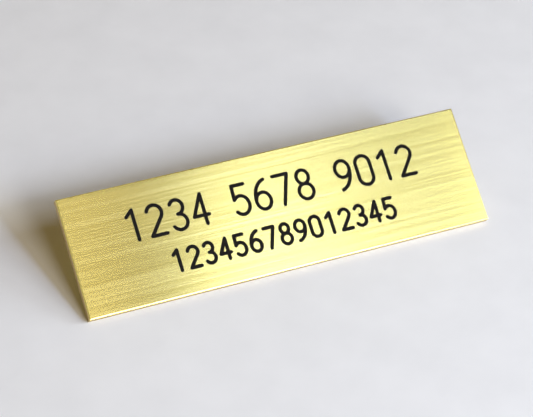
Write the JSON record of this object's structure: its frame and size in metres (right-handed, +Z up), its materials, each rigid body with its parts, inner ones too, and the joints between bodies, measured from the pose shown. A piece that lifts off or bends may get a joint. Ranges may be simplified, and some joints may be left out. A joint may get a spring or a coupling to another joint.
{
  "type": "name plate",
  "caption": "Brushed brass name plate with a bevelled front, and a bar pin with a hinged needle and a turning safety catch bonded to its back.",
  "frame": {"origin": "centre of the footprint, on the table that the plate lies on", "axes": "+X along the plate's length to the right as its face is read, +Y away from the reader, +Z up; the face leans back 33.3 degrees"},
  "size_m": [0.07, 0.0174, 0.0121],
  "materials": {
    "face_plate": "brushed along its length, bevel polished",
    "adhesive_pad": "closed-cell foam tape",
    "pin_bar": "nickel-plated pressed steel",
    "hinge_rivet": "nickel-plated steel",
    "needle": "drawn hard wire, bright",
    "catch_housing": "nickel-plated pressed steel",
    "catch_sleeve": "nickel-plated pressed steel"
  },
  "bodies": {
    "plate": {"face_plate": "face_plate", "adhesive_pad": "adhesive_pad", "pin_bar": "pin_bar", "hinge_rivet": "hinge_rivet", "catch_housing": "catch_housing"},
    "pin": {"needle": "needle"},
    "lock": {"catch_sleeve": "catch_sleeve"}
  },
  "joints": [
    {"name": "needle_hinge", "type": "hinge", "parent": "plate", "child": "pin", "pos_m": [0.0146, 0.00251, 0.0022], "axis": [0, -0.8357, -0.5492], "range_deg": [0, 90]},
    {"name": "catch_turn", "type": "hinge", "parent": "plate", "child": "lock", "pos_m": [-0.014, 0.00251, 0.0022], "axis": [1, 0, 0], "range_deg": [0, 75]}
  ]
}
